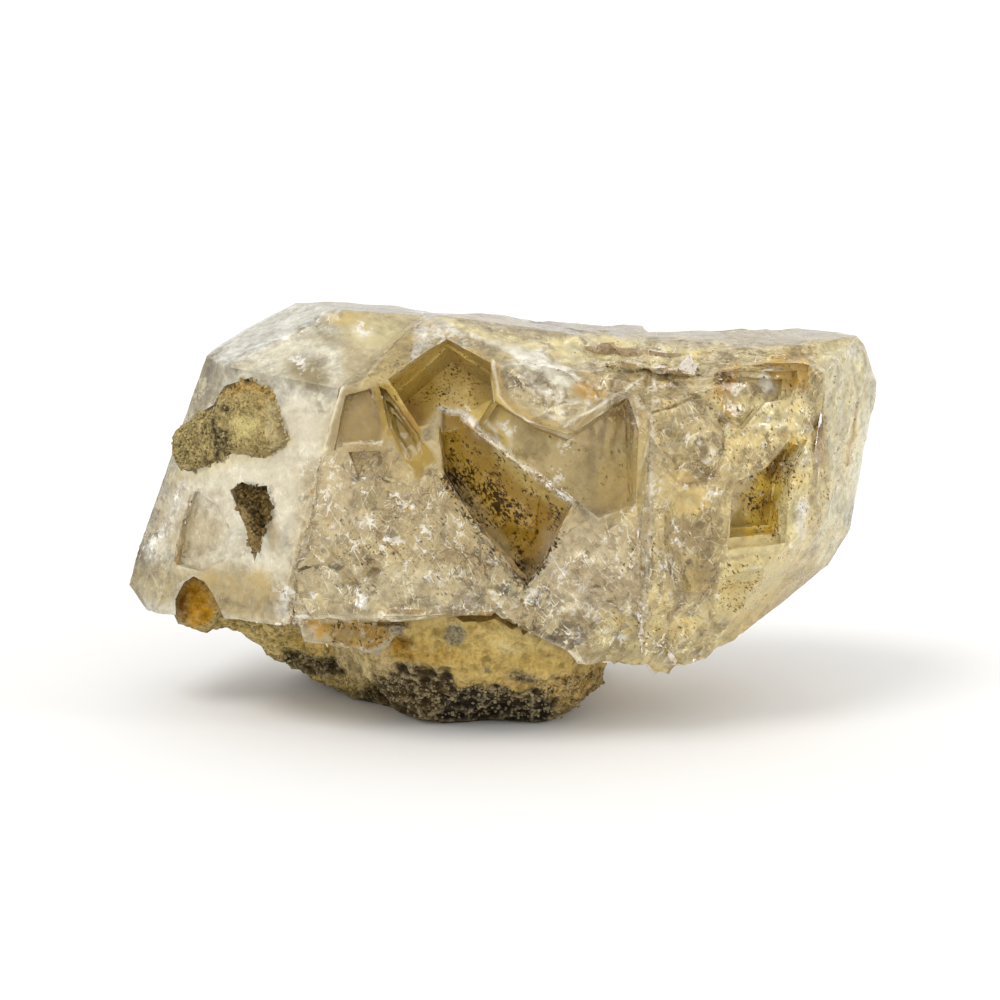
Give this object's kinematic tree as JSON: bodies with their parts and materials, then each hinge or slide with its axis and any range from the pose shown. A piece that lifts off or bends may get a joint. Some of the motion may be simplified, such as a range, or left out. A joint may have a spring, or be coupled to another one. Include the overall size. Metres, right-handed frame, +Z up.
{
  "type": "fenster quartz crystal group on host rock",
  "caption": "Group of intergrown window quartz crystals, stepped and stained with iron, resting on a flat-cut remnant of its host rock.",
  "frame": {"origin": "on the resting surface, below the middle of the group's bounding box", "axes": "+Z up, +X to the right along the length of the group, and the face with the large windows looks to -Y"},
  "size_m": [0.0806, 0.0452, 0.0439],
  "materials": {
    "quartz": "clear to milky natural crystal faces, with iron stains in the hollows",
    "host_rock": "rough, with a dark porous crust",
    "rock_patch": "rough and grainy",
    "rock_chip": "dark and crumbly"
  },
  "bodies": {
    "root": {"quartz_crystals": "quartz", "host_rock": "host_rock", "rock_patch": "rock_patch", "rock_chip": "rock_chip"}
  },
  "joints": []
}
